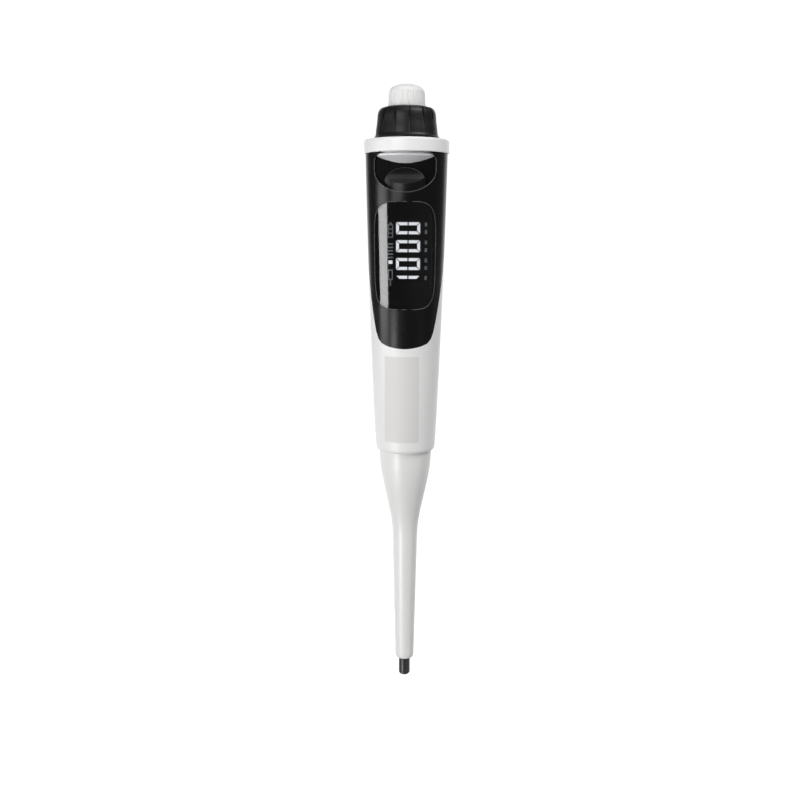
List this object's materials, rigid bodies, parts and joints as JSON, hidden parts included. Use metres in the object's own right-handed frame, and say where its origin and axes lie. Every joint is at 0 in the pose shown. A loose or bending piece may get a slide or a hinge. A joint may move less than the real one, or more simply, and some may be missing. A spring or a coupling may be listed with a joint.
{
  "type": "adjustable micropipette",
  "caption": "Hand-held adjustable micropipette with thumb plunger, volume ring, digital volume window, front tip ejector and slim tip cone.",
  "frame": {"origin": "on the piston axis at the lower edge of the tip cone's cylindrical seat", "axes": "+Z along the piston axis towards the push button, -Y out of the display, +X to the right when facing the display"},
  "size_m": [0.0335, 0.0539, 0.2458],
  "materials": {
    "housing_white": "fine satin moulded plastic",
    "panel_black": "satin to semi-gloss moulded plastic",
    "window_tint": "clear smoke-tinted lens, polished",
    "trim_silver": "pale pearl moulded plastic",
    "cap_white": "fine satin moulded plastic",
    "label_grey": "blank satin film",
    "plug_grey": "moulded plastic",
    "screw_steel": "zinc-plated",
    "frame_grey": "glass-filled plastic",
    "lcd_glass": "dark display glass",
    "lcd_lit": "bright display segments",
    "lcd_dim": "dim display marks",
    "strip_rubber": "conductive elastomer",
    "board_green": "solder mask",
    "component_black": "moulded chip packages",
    "holder_grey": "moulded plastic",
    "cell_steel": "nickel-plated",
    "contact_brass": "plated spring strip",
    "encoder_black": "moulded plastic",
    "bush_white": "low-friction plastic",
    "cone_black": "semi-gloss chemical-resistant plastic",
    "nut_grey": "moulded plastic",
    "seal_rubber": "greased seal",
    "ring_black": "satin moulded plastic with grip grooves",
    "spindle_steel": "turned",
    "gear_white": "low-friction plastic",
    "stop_brass": "turned",
    "button_white": "fine satin moulded plastic",
    "rod_steel": "polished",
    "collar_grey": "moulded plastic",
    "piston_steel": "polished",
    "spring_steel": "spring wire",
    "ejector_black": "satin moulded plastic",
    "yoke_steel": "pressed strip",
    "sleeve_white": "fine satin moulded plastic"
  },
  "bodies": {
    "handle": {"housing": "housing_white", "front_panel": "panel_black", "display_window": "window_tint", "recess_trim": "trim_silver", "top_cap": "cap_white", "cap_screws": "screw_steel", "finger_hook": "housing_white", "battery_door": "housing_white", "door_screw": "screw_steel", "label_plate": "label_grey", "calibration_plug": "plug_grey", "inner_frame": "frame_grey", "lcd_glass": "lcd_glass", "lcd_digits": "lcd_lit", "lcd_icons": "lcd_dim", "contact_strips": "strip_rubber", "circuit_board": "board_green", "board_components": "component_black", "board_screws": "screw_steel", "battery_holder": "holder_grey", "battery_cell": "cell_steel", "battery_contact": "contact_brass", "encoder_body": "encoder_black", "ring_bush": "bush_white", "nozzle": "cone_black", "union_nut": "nut_grey", "piston_seal": "seal_rubber", "seal_retainer": "bush_white"},
    "volume_ring": {"adjust_ring": "ring_black", "spindle": "spindle_steel", "drive_gear": "gear_white", "circlip": "screw_steel"},
    "encoder_shaft": {"encoder_pinion": "gear_white"},
    "stop_carriage": {"stop_nut": "stop_brass"},
    "plunger": {"push_button": "button_white", "plunger_rod": "rod_steel", "plunger_collar": "collar_grey", "piston_head": "collar_grey", "piston": "piston_steel", "return_spring": "spring_steel", "blowout_spring": "spring_steel"},
    "ejector": {"ejector_button": "ejector_black", "ejector_yoke": "yoke_steel", "ejector_sleeve": "sleeve_white", "ejector_spring": "spring_steel"}
  },
  "joints": [
    {"name": "ring_turn", "type": "hinge", "parent": "handle", "child": "volume_ring", "pos_m": [0, 0, 0.225], "axis": [0, 0, 1], "range_deg": [-1, 3241]},
    {"name": "stop_slide", "type": "slide", "parent": "handle", "child": "stop_carriage", "axis": [0, 0, 1], "range_m": [-0.00689, 0]},
    {"name": "encoder_spin", "type": "hinge", "parent": "handle", "child": "encoder_shaft", "pos_m": [0, 0.0096, 0.207], "axis": [0, 0, 1], "range_deg": [-5401, 1]},
    {"name": "plunger_slide", "type": "slide", "parent": "stop_carriage", "child": "plunger", "axis": [0, 0, 1], "range_m": [-0.00885, 0], "stiffness_N_per_m": 350, "springref_m": 0.004, "deforming": ["return_spring", "blowout_spring"]},
    {"name": "ejector_slide", "type": "slide", "parent": "handle", "child": "ejector", "axis": [0, 0, 1], "range_m": [-0.008, 0], "stiffness_N_per_m": 450, "springref_m": 0.003, "deforming": ["ejector_spring"]}
  ],
  "couplings": [
    {"joint": "ring_turn", "follows": "stop_slide", "rad_per_m": -8212.2},
    {"joint": "encoder_spin", "follows": "stop_slide", "rad_per_m": 13687}
  ]
}
